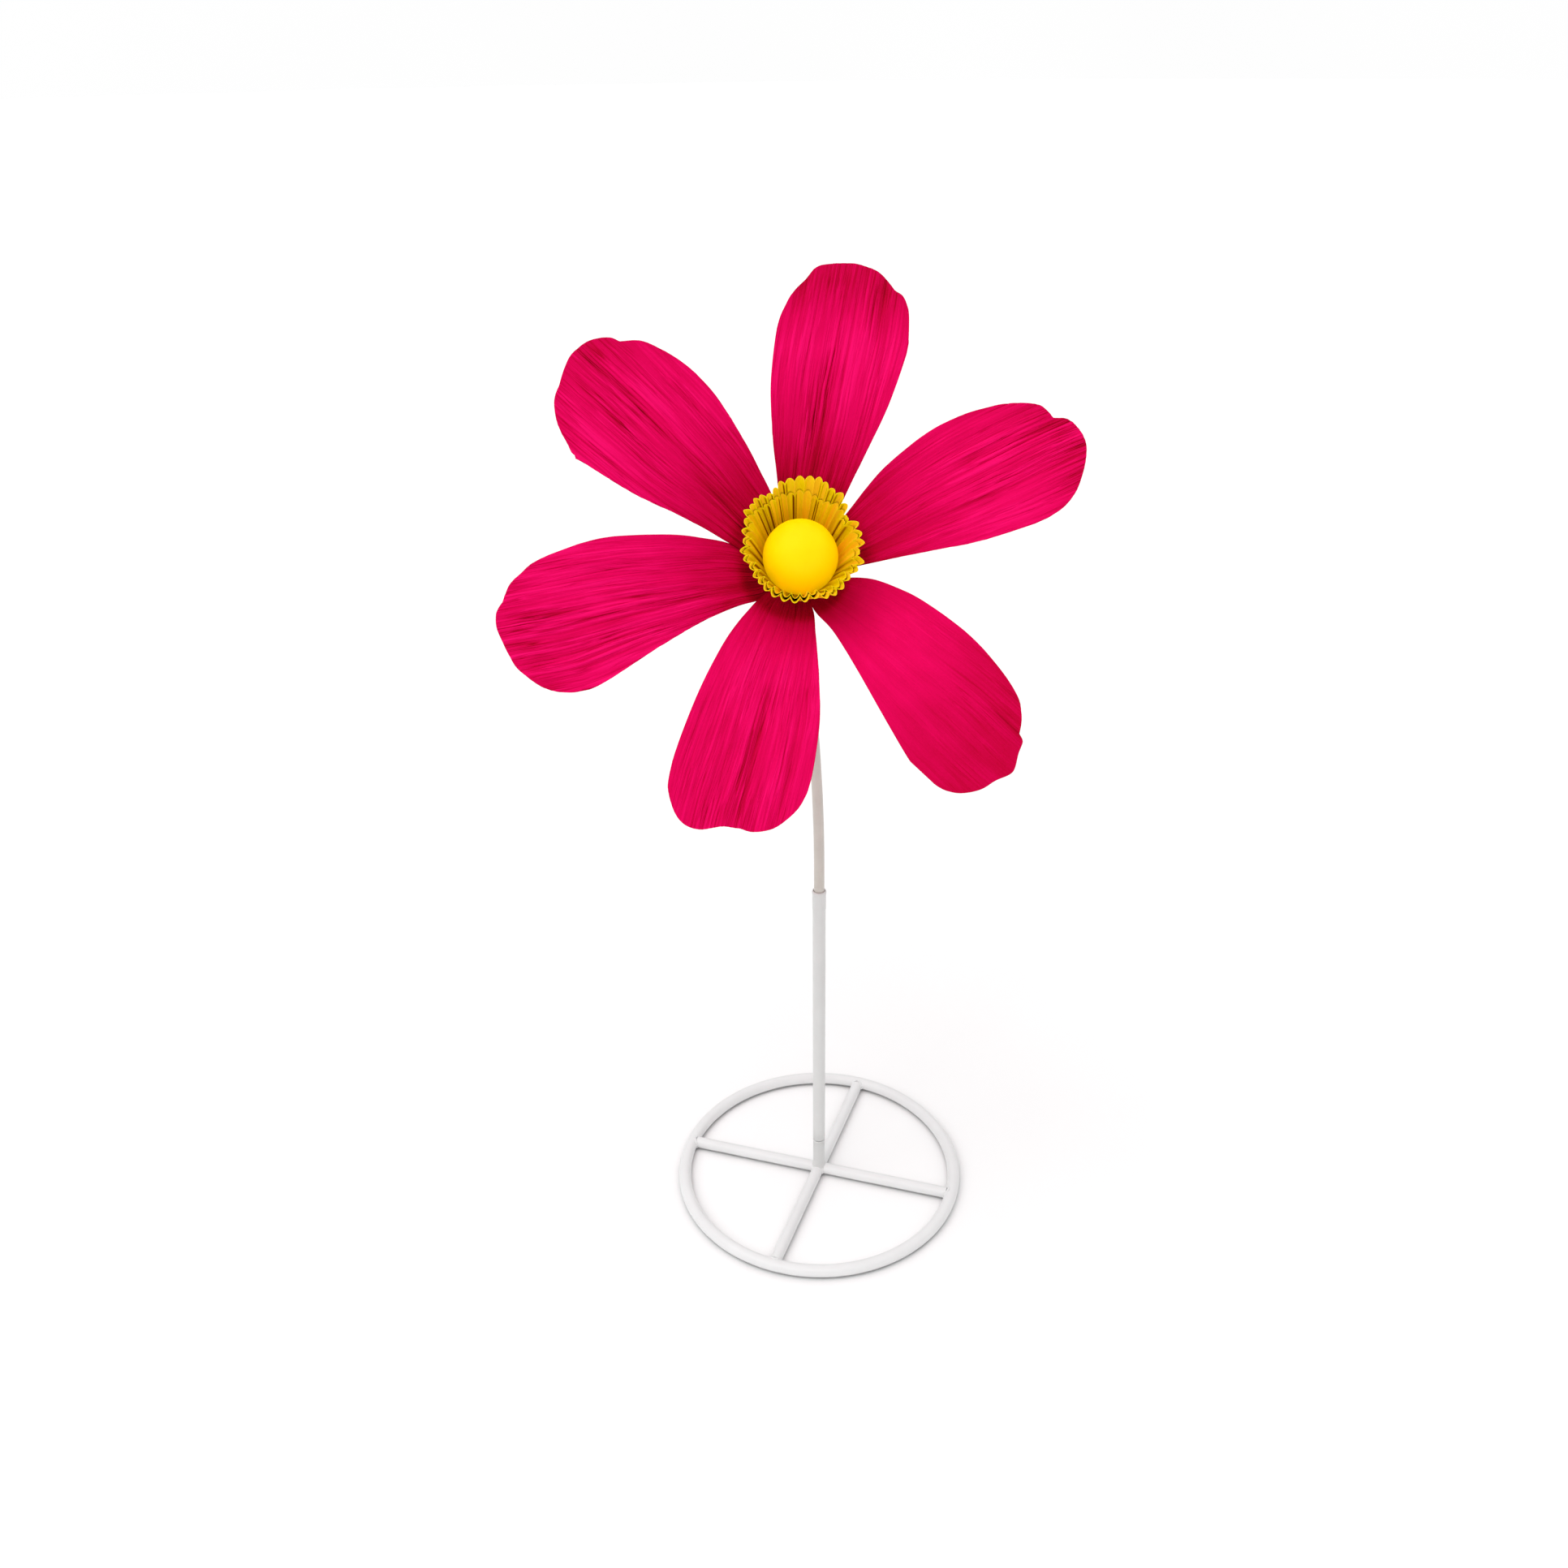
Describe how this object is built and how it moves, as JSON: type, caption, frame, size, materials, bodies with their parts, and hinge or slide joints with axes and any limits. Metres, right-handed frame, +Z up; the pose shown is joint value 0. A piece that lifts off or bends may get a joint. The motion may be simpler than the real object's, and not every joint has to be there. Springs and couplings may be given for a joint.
{
  "type": "giant paper flower",
  "caption": "Large craft flower with notched crepe-paper petals, a fluted fringe and a ball centre, on a bent tube stem and a ring-shaped floor stand.",
  "frame": {"origin": "middle of the stand's bar crossing, on the floor", "axes": "+Z up along the post; the flower looks towards -Y and up"},
  "size_m": [0.4588, 0.3941, 0.9219],
  "materials": {
    "white_enamel": "white powder coat, satin",
    "bare_steel": "plain drawn",
    "stem_white": "off-white paint, satin",
    "magenta_crepe": "crepe, fine lengthwise creases",
    "magenta_card": "matt",
    "wire_paper": "matt wrapped wire",
    "amber_paper": "fluted, matt",
    "yellow_ball": "painted foam, satin"
  },
  "bodies": {
    "root": {"base_ring": "white_enamel", "cross_bar_long": "white_enamel", "cross_bar_front": "white_enamel", "cross_bar_back": "white_enamel", "base_socket": "white_enamel", "lower_post": "white_enamel", "joint_spigot": "bare_steel", "upper_stem": "stem_white", "hub_card": "magenta_card", "fringe_outer": "amber_paper", "fringe_inner": "amber_paper", "centre_ball": "yellow_ball", "petal_1": "magenta_crepe", "petal_wire_1": "wire_paper", "petal_2": "magenta_crepe", "petal_wire_2": "wire_paper", "petal_3": "magenta_crepe", "petal_wire_3": "wire_paper", "petal_4": "magenta_crepe", "petal_wire_4": "wire_paper", "petal_5": "magenta_crepe", "petal_wire_5": "wire_paper", "petal_6": "magenta_crepe", "petal_wire_6": "wire_paper"}
  },
  "joints": []
}
